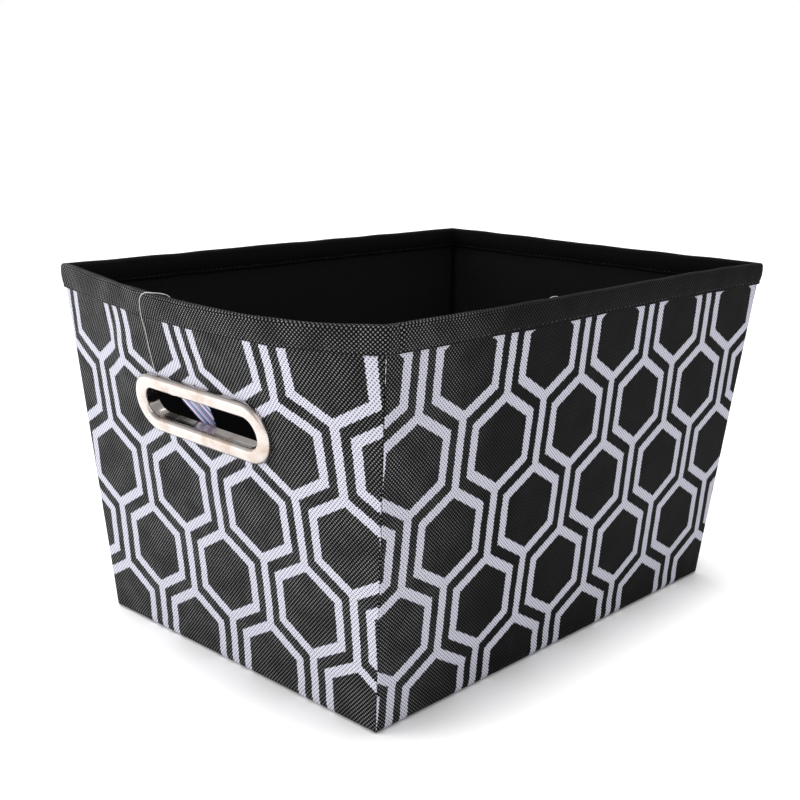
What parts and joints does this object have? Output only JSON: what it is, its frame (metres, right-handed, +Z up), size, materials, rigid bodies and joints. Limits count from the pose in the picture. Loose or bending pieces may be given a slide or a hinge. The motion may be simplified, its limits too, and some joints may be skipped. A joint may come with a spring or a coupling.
{
  "type": "fabric storage bin",
  "caption": "Tapered open storage bin of patterned fabric over stiff board, with a bound rim, an oval metal grommet handle in each short wall and a lift-out base board.",
  "frame": {"origin": "centre of the bin's flat underside", "axes": "+X along the long side towards the wall without the tag, +Y across towards the back long wall, +Z up through the open top"},
  "size_m": [0.3888, 0.2767, 0.2212],
  "materials": {
    "printed_fabric": "matt embossed non-woven with a pale printed line pattern",
    "black_fabric": "matt embossed non-woven",
    "lining_fabric": "matt non-woven",
    "greyboard": "raw board",
    "nickel": "polished warm nickel plate",
    "sewing_thread": "spun thread",
    "nylon": "clear nylon thread",
    "tag_card": "glossy striped card"
  },
  "bodies": {
    "bin": {"cover_front": "printed_fabric", "board_front": "greyboard", "lining_front": "lining_fabric", "cover_right": "printed_fabric", "board_right": "greyboard", "lining_right": "lining_fabric", "cover_back": "printed_fabric", "board_back": "greyboard", "lining_back": "lining_fabric", "cover_left": "printed_fabric", "board_left": "greyboard", "lining_left": "lining_fabric", "cover_base": "black_fabric", "lining_base": "lining_fabric", "rim_binding": "black_fabric", "rim_thread": "sewing_thread", "seam_thread_front_left": "sewing_thread", "seam_thread_front_right": "sewing_thread", "seam_thread_back_right": "sewing_thread", "seam_thread_back_left": "sewing_thread", "handle_bezel_left": "nickel", "handle_ring_left": "nickel", "handle_bezel_right": "nickel", "handle_ring_right": "nickel", "tag_thread": "nylon", "hang_tag": "tag_card"},
    "base_insert": {"insert_board": "greyboard", "insert_cover": "lining_fabric"}
  },
  "joints": [
    {"name": "insert_lift", "type": "slide", "parent": "bin", "child": "base_insert", "axis": [0, 0, 1], "range_m": [0, 0.24]}
  ]
}
